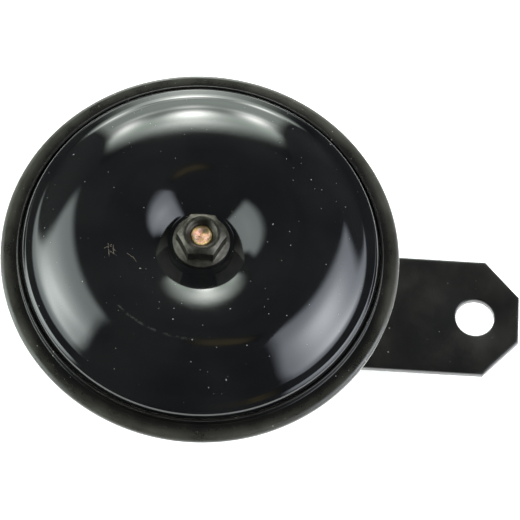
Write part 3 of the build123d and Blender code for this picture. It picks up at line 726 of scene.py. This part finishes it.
# %% Satin black finish
def make_satin_black(name, color, roughness, dusty, film=None):
    """film=(inner radius, outer radius) is where a thin olive film of dirt thickens outwards on the front; just
    outside it, the outermost bend gets a paler colour that is partly wear and partly a painted edge highlight.
    """
    paint = Finish(name, color, roughness, IOR=1.48)
    cloudy = paint.noise(90.0, 4.0, 0.6)
    grain = paint.noise(3200.0, 2.0, 0.6)
    dust = paint.math("MAXIMUM", paint.specks(3.4, 0.42, 0.12 * dusty), paint.specks(1.4, 0.22, 0.06 * dusty))
    warm = (color[0] * 1.9, color[1] * 1.75, color[2] * 1.45)
    shade = paint.tint(color, warm, paint.between(cloudy, 0.35, 0.75))
    rough = roughness - 0.05 + 0.12 * paint.between(cloudy, 0.3, 0.75) + 0.2 * dust
    if film:
        r, _ = paint.radius()
        patchy = paint.between(cloudy * 0.6 + grain * 0.4, 0.25, 0.7)
        thick = paint.between(r, *film) * paint.between(paint.facing_up(), 0.1, 0.8) * patchy
        shade = paint.tint(shade, (0.046, 0.043, 0.031), thick)
        rough = rough + 0.3 * thick
        # the outermost bend is painted paler all the way round: partly rubbed wear, partly a painted edge highlight
        worn = paint.between(cloudy * 0.5 + grain * 0.5, 0.2, 0.5)
        wear_and_edge_highlight = paint.between(r, film[1] - 0.05, film[1] + 0.6) * worn
        shade = paint.tint(shade, (0.125, 0.122, 0.102), wear_and_edge_highlight * 0.35)
    paint.look(paint.tint(shade, (0.34, 0.33, 0.28), dust * 0.7), rough)
    paint.bump(grain, 0.012)
    return paint


SATIN_BLACK = make_satin_black("satin_black_paint", (0.0060, 0.0058, 0.0053), 0.24, 1.5, (42.6, 45.4))
BRACKET_BLACK = make_satin_black("bracket_black_paint", (0.0068, 0.0066, 0.0060), 0.33, 0.5)

# %% [markdown]
# ## The folded ring
# A strip of thin sheet is rolled over the case's flange and clamps the diaphragm's edge. Seen from the side it is
# a C: a flat front, a fully round outer edge and a short lip behind. Beside the window the sheet is turned up as a
# low wall, which stiffens the ring and hides the diaphragm's edge.

# %% Folded ring
RING_SHEET, WINDOW_R, WALL_TOP, REAR_LIP_R = 0.5, 41.62, 3.2, 42.6


def ring_outline():
    fold = (ring_high.z - ring_low.z) / 2 / MM
    inner = fold - RING_SHEET
    centre_r = RIM_R - fold
    wall_r = WINDOW_R + RING_SHEET

    def bend(radius, start, end, count):
        return [
            (centre_r + radius * math.sin(t), RIM_Z + radius * math.cos(t)) for t in np.linspace(start, end, count)
        ]

    wall = rounded([
        (WINDOW_R, RIM_Z + inner, 0.12), (WINDOW_R, RIM_Z + WALL_TOP, 0.2), (wall_r, RIM_Z + WALL_TOP, 0.2),
        (wall_r, RIM_Z + fold, 0.22), (centre_r - 0.01, RIM_Z + fold),
    ], 8)[:-1]
    lip = [(0.12, -fold), (0.04, -fold + 0.04), (0.0, -fold + 0.12)]
    lip += [(0.0, -inner - 0.12), (0.04, -inner - 0.04), (0.12, -inner)]
    lip = [(REAR_LIP_R + r, RIM_Z + h) for r, h in lip]
    return wall + bend(fold, 0.0, math.pi, 33) + lip + bend(inner, math.pi, 0.0, 17)


folded_ring = turned_piece("folded_ring", ring_outline(), SATIN_BLACK, segments=280)

# %% [markdown]
# ## Nuts
# A hexagon nut is a hexagon cut by a cone, with a round flange under it. All of it can be said as one radius for
# each angle and height: the smaller of the hexagon and the cone, and the larger of that and the flange. Taking
# those with a soft minimum and maximum rounds every edge a little, as forging does. The bore has a real thread.

# %% Nut shapes
def soft_min(a, b, k):
    low = np.minimum(a, b)
    return low - k * np.log(np.exp((low - a) / k) + np.exp((low - b) / k))


def soft_max(a, b, k):
    return -soft_min(-a, -b, k)


def hexagon_radius(angle, flats, softness):
    """Radius of a hexagon with softened corners, and flats facing +Y and -Y."""
    pull = [np.cos(angle - math.radians(90 + 60 * i)) for i in range(6)]
    top = np.max(pull, axis=0)
    return flats / 2 / (top + softness * np.log(np.sum([np.exp((p - top) / softness) for p in pull], axis=0)))


def wound_mesh(name, rings, axis):
    """A closed tube-like mesh from rings of (radius array, height array), the last joined to the first."""
    count = len(rings[0][0])
    angle = np.arange(count) / count * 2 * math.pi
    verts = []
    for r, z in rings:
        x = axis[0] + r * np.cos(angle)
        y = axis[1] + r * np.sin(angle)
        verts += [(x[i] * MM, y[i] * MM, z[i] * MM) for i in range(count)]
    faces = []
    for j in range(len(rings)):
        k = (j + 1) % len(rings)
        for i in range(count):
            n = (i + 1) % count
            faces.append((j * count + i, j * count + n, k * count + n, k * count + i))
    data = bpy.data.meshes.new(name)
    data.from_pydata(verts, [], faces)
    data.polygons.foreach_set("use_smooth", [True] * len(faces))
    return settle(name, data)


# %% Nuts
THREAD_SHARE = 0.42    # depth of a thread, as a share of its pitch
BORE_RELIEF = 0.3      # the bore has no thread this near the seat
ROUND_TOP = 0.06       # height of the roll between the side and the top


def nut(name, finish, axis, seat, height, flats, bore_r, top_r, flange=None, pitch=1.0, upward=True, count=288,
        thread_down=None, chamfer=30.0, countersink=0.7, edge=0.09):
    """A nut that stands on its seat, in mm. upward tells which way it points along the axis, and thread_down how
    far the thread reaches from the top."""
    angle = np.arange(count) / count * 2 * math.pi
    hexagon = hexagon_radius(angle, flats, 0.006)
    rise = math.tan(math.radians(chamfer))
    rings = []

    def add(radius, h):
        rings.append((np.full(count, radius), np.full(count, h)))

    def level(h):
        """The outside at a height above the seat."""
        r = soft_min(hexagon, np.full(count, top_r + (height - h) / rise), edge)
        if flange:
            skirt = flange["r"] - max(0.0, h - flange["edge"]) / math.tan(math.radians(flange["slope"]))
            r = soft_max(r, np.full(count, max(skirt, 0.5)), 0.16)
            roll = flange["edge"] * 0.45
            if h < roll:
                r = r - 0.25 * roll * (1 - h / roll) ** 2
        return r

    # the outside, from the seat up
    for start, end, steps in ((0.0, height * 0.2, 14), (height * 0.2, height * 0.62, 14),
                              (height * 0.62, height - ROUND_TOP, 30)):
        for h in np.linspace(start, end, steps)[1 if start else 0:]:
            add(level(h), h)
    # the top, from the roll in to the mouth of the bore
    last = level(height - ROUND_TOP)
    mouth, mouth_h = bore_r + countersink, height - 0.03
    for inset, drop in ((0.05, 0.035), (0.12, 0.012), (0.22, 0.0)):
        add(last - inset, height - drop)
    land = float(np.min(last)) - 0.22
    for t in (0.35, 0.7):
        add(land + (mouth + 0.08 - land) * t, height)
    add(mouth + 0.06, height)
    add(mouth, mouth_h)
    # the countersunk and threaded bore, down to the seat
    fade_to = height - thread_down if thread_down else BORE_RELIEF
    for h in np.linspace(mouth_h, BORE_RELIEF, int((mouth_h - BORE_RELIEF) / pitch * 16) + 1)[1:]:
        turn = (h / pitch - angle / (2 * math.pi)) % 1.0
        tooth = np.clip((np.abs(turn - 0.5) * 2 - 0.1) / 0.8, 0, 1)
        here = 1.0 if h > fade_to else max(0.0, 1 - (fade_to - h) / 0.5)
        add(np.maximum(bore_r - pitch * THREAD_SHARE * tooth * here, mouth - (mouth_h - h)), h)
    foot_r = bore_r + 0.08
    add(bore_r, BORE_RELIEF * 0.5)
    add(foot_r, 0.0)
    outer = float(np.min(rings[0][0]))
    for t in (0.3, 0.6, 0.9):
        add(foot_r + (outer - foot_r) * t, 0.0)
    sign = 1.0 if upward else -1.0
    piece = wound_mesh(name, [(r, seat + sign * z) for r, z in rings], axis)
    piece.data.materials.append(finish.material)
    return piece


# %% [markdown]
# The centre nut is steel with a dark olive zinc finish, and its flats are mottled.

# %% Centre nut
def make_dark_zinc():
    steel = Finish("dark_zinc_steel", (0.055, 0.052, 0.042), 0.42, Metallic=0.8)
    cloud = steel.noise(700.0, 4.0, 0.6)
    fine = steel.noise(4200.0, 3.0, 0.6)
    shade = steel.tint((0.034, 0.031, 0.025), (0.080, 0.074, 0.060), steel.between(cloud, 0.35, 0.72))
    shade = steel.tint(shade, (0.24, 0.22, 0.18), steel.between(fine, 0.60, 0.75) * 0.5)
    # painted shade: the bore is darker than the outside
    r, _ = steel.radius()
    shade = steel.tint(shade, (0.020, 0.018, 0.014), steel.until(r, 3.15, 3.6) * 0.75)
    steel.look(shade, 0.34 + 0.2 * cloud)
    steel.bump(cloud * 0.6 + fine * 0.4, 0.025)
    return steel


DARK_ZINC = make_dark_zinc()
nut_low, nut_high = box_mm("flange_nut")
CROWN_DOWN = 0.7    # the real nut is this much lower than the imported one
centre_nut = nut(
    "centre_nut", DARK_ZINC, (AXIS_X, 0.0), seat_z, nut_high.z - nut_low.z - CROWN_DOWN, 10.0, 3.02, 4.2,
    flange={"r": 6.6, "edge": 1.0, "slope": 25.0}, thread_down=1.9, chamfer=34.0, countersink=0.5,
)

# %% [markdown]
# ## Stud
# The armature's stud comes up through the nut and ends two millimetres below its top. Yellow zinc has worn off
# the turned end, so it is a bright coppery pink with a golden rim.

# %% Stud and armature
def make_yellow_zinc():
    steel = metal("yellow_zinc_steel", (0.62, 0.36, 0.24), 0.3)
    x, y = steel.about_axis()
    r, _ = steel.radius()
    cloud = steel.noise(900.0, 3.0, 0.6)
    blotch = steel.noise(620.0, 2.0, 0.5, distortion=1.2)
    flecks = steel.noise(2100.0, 3.0, 0.6, distortion=0.8)
    middle = steel.until(r, 1.75, 2.25)
    shade = steel.tint((0.74, 0.55, 0.22), (0.86, 0.45, 0.33), middle)
    # the pale patches in the middle of the end are painted highlights
    shade = steel.tint(shade, (1.0, 0.80, 0.62), steel.between(cloud, 0.50, 0.64) * middle)
    shade = steel.tint(shade, (0.84, 0.56, 0.18), steel.between(blotch, 0.52, 0.62) * 0.8)
    shade = steel.tint(shade, (0.22, 0.13, 0.06), steel.between(flecks, 0.53, 0.66) * 0.75)
    dx, dy = x - 0.9, y - 1.1
    shade = steel.tint(shade, (0.16, 0.15, 0.06), steel.until(dx * dx + dy * dy, 0.1, 0.9) * 0.85)
    steel.look(shade, 0.30 + 0.25 * cloud)
    turned = steel.math("SINE", r * 42.0)
    steel.bump(turned * 0.35 + cloud, 0.05)
    return steel


YELLOW_ZINC = make_yellow_zinc()
arm_low, arm_high = box_mm("armature")
SLUG_R, PUSHER_R, BOSS_R, STUD_R = 9.0, 12.5, 6.0, 3.0
END_CHAMFER = 0.62


def stud_outline():
    """Slug, pusher disc, boss and stud, on the axis at both ends."""
    tip, slug = arm_high.z, arm_low.z
    pusher, face, platform = slug + 2.6, slug + 2.6 + 1.2, slug + 2.6 + 3.8
    points = [(0.0, slug), (SLUG_R - 0.1, slug), (SLUG_R, slug + 0.1), (SLUG_R, pusher)]
    points += [(PUSHER_R - 0.1, pusher), (PUSHER_R, pusher + 0.1), (PUSHER_R, face - 0.1), (PUSHER_R - 0.1, face)]
    points += [(BOSS_R, face), (BOSS_R, platform), (STUD_R, platform)]
    points += [(STUD_R, z, 1.0) for z in np.linspace(tip - 7.0, tip - END_CHAMFER, 70)]
    points += [
        (STUD_R - 0.02 - END_CHAMFER * t, tip - END_CHAMFER + 0.6 * t, 1 - t) for t in (0.25, 0.5, 0.75, 0.95)
    ]
    return points + [(2.3, tip), (1.2, tip - 0.02), (0.5, tip - 0.05), (0.0, tip - 0.06)]


stud = turned_piece("stud_and_armature", stud_outline(), YELLOW_ZINC, segments=96, pitch=1.0, depth=0.32)

# %% [markdown]
# ## Strap
# The strap is punched from 2 mm steel. A punch pulls the metal down at the edge where it enters, so the front
# face rolls over for about a millimetre and the rear edge stays sharp. The outline is convex, so loops that step
# inwards make that roll, and a triangulation fills the flat middle round the two holes.

# %% Strap
strap_low, strap_high = box_mm("mounting_bracket")
CORE_HOLE_R, MOUNT_HOLE_R = 4.2, 4.6
STRAP_HOLES = [(0.0, 0.0, CORE_HOLE_R), (-AXIS_X, 0.0, MOUNT_HOLE_R)]
# how far in from the edge, and how far below the face
FRONT_ROLL = [(0.0, 0.45), (0.06, 0.26), (0.18, 0.13), (0.4, 0.06), (0.8, 0.02), (1.4, 0.0)]
REAR_ROLL = [(0.0, 0.08), (0.08, 0.0)]
HOLE_ROLL = FRONT_ROLL[:4]


def strap_loops():
    """The outline of the strap in mm, about the horn's axis, anticlockwise."""
    half = (strap_high.y - strap_low.y) / 2
    end = strap_high.x - AXIS_X
    clip_x, clip_y = 8.25, 8.7
    points = [(end - clip_x, half)]
    points += [(half * math.cos(t), half * math.sin(t)) for t in np.linspace(math.pi / 2, 3 * math.pi / 2, 65)]
    points += [(end - clip_x, -half), (end, clip_y - half), (end, half - clip_y)]
    out = []
    for i, p in enumerate(points):
        q = points[(i + 1) % len(points)]
        steps = max(1, int(math.dist(p, q) / 2.5))
        out += [(p[0] + (q[0] - p[0]) * k / steps, p[1] + (q[1] - p[1]) * k / steps) for k in range(steps)]
    return np.array(out)


# %% Loops and the shell they make
def stepped_in(loop, inset):
    """A convex loop moved inwards by inset: each point moves along the middle of its two sides' normals."""
    before, after = loop - np.roll(loop, 1, 0), np.roll(loop, -1, 0) - loop
    def inward(d):
        n = np.stack([-d[:, 1], d[:, 0]], 1)
        return n / np.linalg.norm(n, axis=1, keepdims=True)
    middle = inward(before) + inward(after)
    middle /= np.linalg.norm(middle, axis=1, keepdims=True)
    return loop + middle * (inset / np.sum(middle * inward(after), 1))[:, None]


def circle(x, y, r, count=96):
    t = np.arange(count) / count * 2 * math.pi
    return np.stack([x + r * np.cos(t), y + r * np.sin(t)], 1)


class Shell:
    """Vertices and faces that are added loop by loop, in mm about the horn's axis."""

    def __init__(self):
        self.verts, self.faces = [], []

    def add(self, loop, z):
        start = len(self.verts)
        self.verts.extend([((AXIS_X + x) * MM, y * MM, z * MM) for x, y in loop])
        return list(range(start, start + len(loop)))

    def join(self, loops, flip):
        """A wall of faces from each loop to the next."""
        for a, b in zip(loops, loops[1:]):
            for i in range(len(a)):
                k = (i + 1) % len(a)
                self.faces.append((a[i], b[i], b[k], a[k]) if flip else (a[i], a[k], b[k], b[i]))

    def fill(self, rings, wider, flip):
        """Triangles inside the first ring and outside the others, which lie wider than the strap's holes."""
        index = [v for ring in rings for v in ring]
        flat = [Vector(self.verts[v][:2]) * 1000 for v in index]
        edges, start = [], 0
        for ring in rings:
            edges += [(start + i, start + (i + 1) % len(ring)) for i in range(len(ring))]
            start += len(ring)
        corners, _, triangles, origin, *_ = delaunay_2d_cdt(flat, edges, [], 1, 1e-6)
        for triangle in triangles:
            middle = sum((corners[i] for i in triangle), Vector((0, 0))) / 3
            if any((middle - Vector((AXIS_X + x, y))).length < (r + wider) * 0.9992 for x, y, r in STRAP_HOLES):
                continue
            face = tuple(index[origin[i][0]] for i in triangle)
            self.faces.append(face[::-1] if flip else face)


# %% Strap mesh
def strap_mesh():
    low, high = strap_low.z, strap_high.z
    shell, outline = Shell(), strap_loops()
    fronts = [shell.add(stepped_in(outline, i), high - drop) for i, drop in FRONT_ROLL]
    rears = [shell.add(stepped_in(outline, i), low + drop) for i, drop in REAR_ROLL]
    shell.join(fronts, False)
    shell.join(rears, True)
    shell.join([rears[0], fronts[0]], False)
    inner_front, inner_rear = [fronts[-1]], [rears[-1]]
    for x, y, r in STRAP_HOLES:
        fronts = [shell.add(circle(x, y, r + i), high - drop) for i, drop in HOLE_ROLL]
        rears = [shell.add(circle(x, y, r + i), low + drop) for i, drop in REAR_ROLL]
        shell.join(fronts, True)
        shell.join(rears, False)
        shell.join([rears[0], fronts[0]], True)
        inner_front.append(fronts[-1])
        inner_rear.append(rears[-1])
    shell.fill(inner_front, HOLE_ROLL[-1][0], False)
    shell.fill(inner_rear, REAR_ROLL[-1][0], True)
    data = bpy.data.meshes.new("strap")
    data.from_pydata(shell.verts, [], shell.faces)
    data.polygons.foreach_set("use_smooth", [True] * len(shell.faces))
    data.materials.append(BRACKET_BLACK.material)
    return settle("strap", data)


strap = strap_mesh()

# %% [markdown]
# ## Case
# The case is a cup, deep-drawn from 0.6 mm sheet with a flange round its mouth, and painted with the ring. Four
# holes go through its floor: one for the core's tail, two for the terminals' rivets and one for the adjusting
# screw. The cup is turned, and then each hole is cut out of it with a Boolean modifier.

# %% Drawn case
case_low, case_high = box_mm("case")
CASE_SHEET, CASE_FLOOR_R, CASE_MOUTH_R = 0.6, 33.5, 36.975
CASE_HOLES = [(0.0, 0.0, CORE_HOLE_R), (-23.5, 6.5, 2.6), (-23.5, -6.5, 2.6), (9.0, 21.0, 1.7)]


def case_outline():
    rear, top, flange_r = case_low.z, case_high.z, (case_high.x - case_low.x) / 2
    under, wall = top - CASE_SHEET, CASE_SHEET * 1.1
    return rounded([
        (0.0, rear), (CASE_FLOOR_R, rear, 4.0), (CASE_MOUTH_R, under, 1.1), (flange_r - 0.05, under),
        (flange_r, under + 0.05), (flange_r, top - 0.05), (flange_r - 0.05, top), (CASE_MOUTH_R - wall, top, 0.5),
        (CASE_FLOOR_R - wall, rear + CASE_SHEET, 3.4), (0.0, rear + CASE_SHEET),
    ], 10)


# %% Drilled holes
def drill(piece, holes, low, high):
    """Cuts round holes (x, y, radius) in mm about the horn's axis."""
    for x, y, r in holes:
        work = bmesh.new()
        bmesh.ops.create_cone(
            work, cap_ends=True, segments=64, radius1=r * MM, radius2=r * MM, depth=(high - low) * MM
        )
        bmesh.ops.translate(work, verts=work.verts, vec=Vector((AXIS_X + x, y, (low + high) / 2)) * MM)
        bit = put_in_scene("drill", to_data(work, "drill"))
        cut = piece.modifiers.new("hole", "BOOLEAN")
        cut.operation, cut.solver, cut.object = "DIFFERENCE", "EXACT", bit
        piece.data = evaluated(piece)
        bpy.data.objects.remove(bit)
    piece.data.polygons.foreach_set("use_smooth", [True] * len(piece.data.polygons))


drawn_case = turned_piece("drawn_case", case_outline(), SATIN_BLACK, segments=200)
drill(drawn_case, CASE_HOLES, case_low.z - 2, case_low.z + 3)
print("case: %d faces" % len(drawn_case.data.polygons))

# %% [markdown]
# ## Rear nuts and screws
# Behind the strap sits a plain zinc nut on the core's threaded tail, over a split lock washer. A small locknut
# holds the adjusting screw. Both nuts come from the same function as the centre nut, turned to point backwards.

# %% Finishes of two patterns, and bright zinc
def make_weathered(name, colors, span, coarse, fine, worn, worn_span, share, rough, bump, along=(1, 1, 1), **fixed):
    """A finish made of two noises, each (scale, detail, roughness, distortion). The coarse one, drawn out along a
    direction, blends the two colours over its span and sets the roughness. The fine one adds a worn colour."""
    finish = Finish(name, colors[1], rough[0], **fixed)
    broad, close = finish.grain(*coarse, along), finish.grain(*fine)
    shade = finish.tint(*colors, finish.between(broad, *span))
    shade = finish.tint(shade, worn, finish.between(close, *worn_span) * share)
    finish.look(shade, rough[0] + rough[1] * broad)
    finish.bump(broad * bump[0] + close * bump[1], bump[2])
    return finish


BRIGHT_ZINC = make_weathered(
    "zinc_steel", ((0.42, 0.43, 0.42), (0.68, 0.68, 0.64)), (0.3, 0.7), (500.0, 4.0, 0.6, 0.0),
    (3600.0, 3.0, 0.6, 0.0), (0.56, 0.52, 0.40), (0.58, 0.75), 0.5, (0.28, 0.22), (0.5, 0.5, 0.02), Metallic=1.0,
)

# %% Rear nuts
def rear_nut(name, node, bore_r, crown, axis=None, **more):
    """A nut as large as a packed one, pointing backwards. crown is how far the chamfer cuts in at the top."""
    low, high = box_mm(node)
    flats = high.y - low.y
    axis = axis or ((low.x + high.x) / 2, (low.y + high.y) / 2)
    return nut(
        name, BRIGHT_ZINC, axis, high.z, high.z - low.z, flats, bore_r, flats / 2 - crown, upward=False, **more,
    )


tail_nut = rear_nut("tail_nut", "bracket_nut", 4.02, 0.25, axis=(AXIS_X, 0.0), pitch=1.25)
lock_nut = rear_nut(
    "screw_locknut", "adjusting_locknut", 1.52, 0.12, pitch=0.5, count=144, countersink=0.25, edge=0.05,
)

# %% [markdown]
# ## Finishes for the inner and rear pieces
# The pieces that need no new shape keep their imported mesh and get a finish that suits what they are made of. Each
# one varies the way that its material does: paper has fibres, moulded plastic has a flow grain, fibre board has
# speckles, and drawn steel and brass have fine lines from rolling.

# %% Metals of the inner pieces
def make_rolled(name, dull, bright, roughness, lines, stain, bump=0.012):
    """Sheet metal with rolling lines, cloudy oxide and stains."""
    sheet = metal(name, bright, roughness)
    cloud = sheet.noise(350.0, 4.0, 0.6)
    rolled = sheet.noise(90.0, 3.0, 0.6, place=sheet.stretched(*lines))
    shade = sheet.tint(dull, bright, sheet.between(cloud * 0.6 + rolled * 0.4, 0.32, 0.68))
    shade = sheet.tint(shade, stain, sheet.between(sheet.noise(900.0, 3.0), 0.56, 0.74) * 0.6)
    sheet.look(shade, roughness - 0.08 + 0.2 * cloud)
    sheet.bump(rolled * 0.7 + cloud * 0.3, bump)
    return sheet


INNER_METALS = [make_rolled(*row) for row in [
    # name, dull and bright colour, roughness, direction of the lines, stain
    ("plain_steel", (0.30, 0.29, 0.28), (0.52, 0.51, 0.49), 0.38, (60.0, 1.0, 1.0), (0.20, 0.13, 0.08)),
    ("spring_steel", (0.22, 0.23, 0.25), (0.42, 0.43, 0.46), 0.30, (1.0, 60.0, 1.0), (0.16, 0.13, 0.20)),
    ("soft_iron", (0.20, 0.19, 0.18), (0.36, 0.35, 0.33), 0.46, (8.0, 8.0, 40.0), (0.22, 0.12, 0.06), 0.02),
    ("contact_metal", (0.55, 0.54, 0.52), (0.80, 0.79, 0.76), 0.28, (20.0, 20.0, 1.0), (0.18, 0.17, 0.16)),
    ("rivet_brass", (0.50, 0.36, 0.13), (0.78, 0.58, 0.26), 0.30, (10.0, 10.0, 10.0), (0.26, 0.17, 0.07)),
    ("blade_brass", (0.56, 0.44, 0.20), (0.80, 0.66, 0.36), 0.27, (1.0, 1.0, 60.0), (0.34, 0.25, 0.12)),
]]
print("inner metals:", len(INNER_METALS))

# %% Paper, plastic, fibre board and wire
GASKET_PAPER = make_weathered(
    "gasket_paper", ((0.19, 0.16, 0.12), (0.34, 0.29, 0.22)), (0.4, 0.7), (2600.0, 5.0, 0.7, 1.5),
    (260.0, 3.0, 0.5, 0.0), (0.12, 0.10, 0.08), (0.5, 0.7), 0.6, (0.74, 0.20), (1.0, 0.0, 0.03),
)
BOBBIN_PLASTIC = make_weathered(
    "bobbin_plastic", ((0.60, 0.57, 0.48), (0.76, 0.74, 0.65)), (0.35, 0.7), (160.0, 4.0, 0.6, 0.8),
    (3400.0, 2.0, 0.5, 0.0), (0.76, 0.74, 0.65), (0.5, 0.7), 0.0, (0.40, 0.22), (0.3, 0.7, 0.015), (1, 1, 3),
    IOR=1.53,
)
FIBRE_BOARD = make_weathered(
    "fibre_board", ((0.105, 0.034, 0.020), (0.24, 0.085, 0.045)), (0.35, 0.68), (900.0, 5.0, 0.7, 0.6),
    (4200.0, 2.0, 0.6, 0.0), (0.36, 0.20, 0.13), (0.66, 0.78), 0.6, (0.52, 0.24), (0.6, 0.4, 0.03), (1, 5, 1),
)
WIRE_PITCH = 0.42


def make_copper_wire():
    """Enamelled wire wound in layers: fine ridges round the axis, a wire's width apart, with painted shade in the
    grooves between them and a painted highlight on their crests.
    """
    wire = metal("copper_wire", (0.50, 0.20, 0.09), 0.30)
    wire.put(**{"Coat Weight": 0.6, "Coat Roughness": 0.12})
    _, _, z = wire.parts(wire.place)
    turns = wire.math("SINE", z * (2 * math.pi / (WIRE_PITCH * MM)))
    cloud = wire.noise(420.0, 3.0)
    # painted shade in the grooves between the wires, and a painted highlight on their crests
    shade = wire.tint((0.34, 0.12, 0.05), (0.66, 0.29, 0.14), wire.between(turns + cloud, 0.0, 1.4))
    wire.look(shade, 0.26 + 0.16 * cloud)
    wire.bump(turns * 0.5 + 0.5, 0.10)
    return wire


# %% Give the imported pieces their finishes
FINISHES = {finish.name: finish.material for finish in [
    *INNER_METALS, GASKET_PAPER, BOBBIN_PLASTIC, FIBRE_BOARD, make_copper_wire(), BRIGHT_ZINC, SATIN_BLACK,
    GLOSS_BLACK, BRACKET_BLACK, DARK_ZINC, YELLOW_ZINC,
]}


def dress(nodes):
    """Swaps each packed material for the finish with its slot's name."""
    count = 0
    for name, piece in nodes.items():
        for slot in piece.material_slots:
            known = slot.material.name if slot.material else ""
            match = next((key for key in sorted(FINISHES, key=len, reverse=True) if key in known), None)
            if match is None:
                print("no finish for", name, known)
                continue
            slot.material = FINISHES[match]
            count += 1
    return count


print("dressed slots:", dress(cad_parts))

# %% [markdown]
# ## Fit the new pieces to the frame
# Each new piece rides on the body that carries it and replaces the imported piece it stands for.

# %% Ride and replace
def fit(piece, body, slot, *nodes):
    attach(piece, body)
    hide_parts(*nodes)


fit(tone_disc, "sounding_head", "gloss_black_paint", "tone_disc")
fit(centre_nut, "sounding_head", "dark_zinc_steel", "flange_nut")
fit(stud, "sounding_head", "yellow_zinc_steel", "armature")
fit(folded_ring, "horn_body", "satin_black_paint", "clamp_ring")
fit(strap, "horn_body", "bracket_black_paint", "mounting_bracket")
fit(drawn_case, "horn_body", "satin_black_paint", "case")
fit(tail_nut, "horn_body", "zinc_steel", "bracket_nut")
fit(lock_nut, "horn_body", "zinc_steel", "adjusting_locknut")
